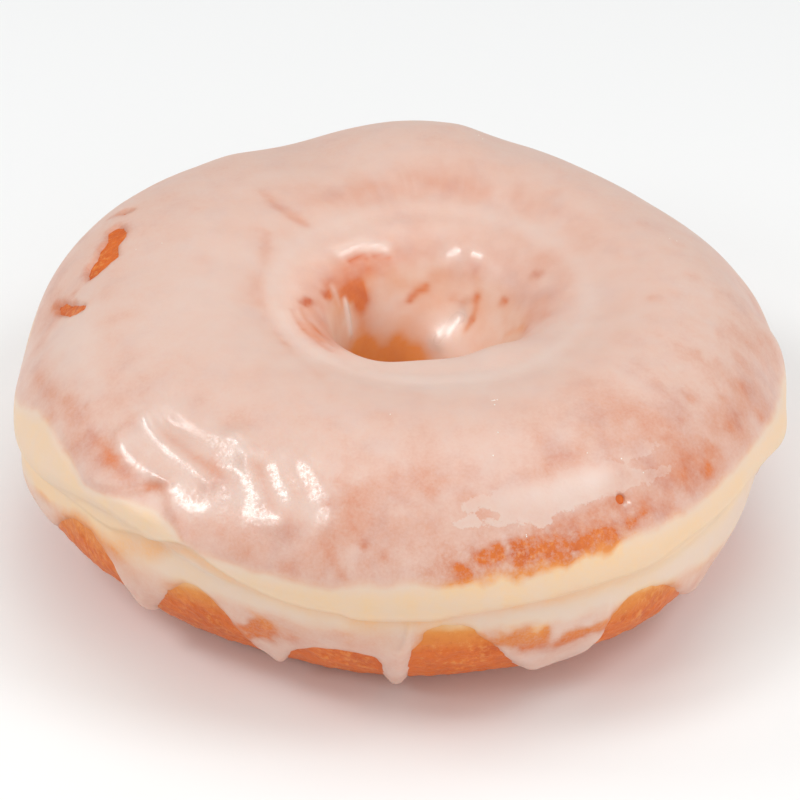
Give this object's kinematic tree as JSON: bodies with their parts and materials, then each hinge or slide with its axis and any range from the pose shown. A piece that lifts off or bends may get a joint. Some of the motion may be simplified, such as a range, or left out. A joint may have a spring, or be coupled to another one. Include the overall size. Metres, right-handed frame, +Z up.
{
  "type": "glazed doughnut",
  "caption": "Round yeast-raised ring doughnut with a funnel-shaped hole, a pale waist and a thin sugar glaze over its fried crust.",
  "frame": {"origin": "middle of the underside: the centre of the bounding box, at the height of the flat it rests on", "axes": "+Z up through the hole, -Y the front that faces the viewer, +X to the right"},
  "size_m": [0.0946, 0.0952, 0.0352],
  "materials": {
    "crust": "matt fried crust, golden to deep orange-brown, with a pale cream waist",
    "glaze": "thin set sugar glaze, milky and satin, glossy where it pooled"
  },
  "bodies": {
    "root": {"dough_ring": "crust"}
  },
  "joints": []
}
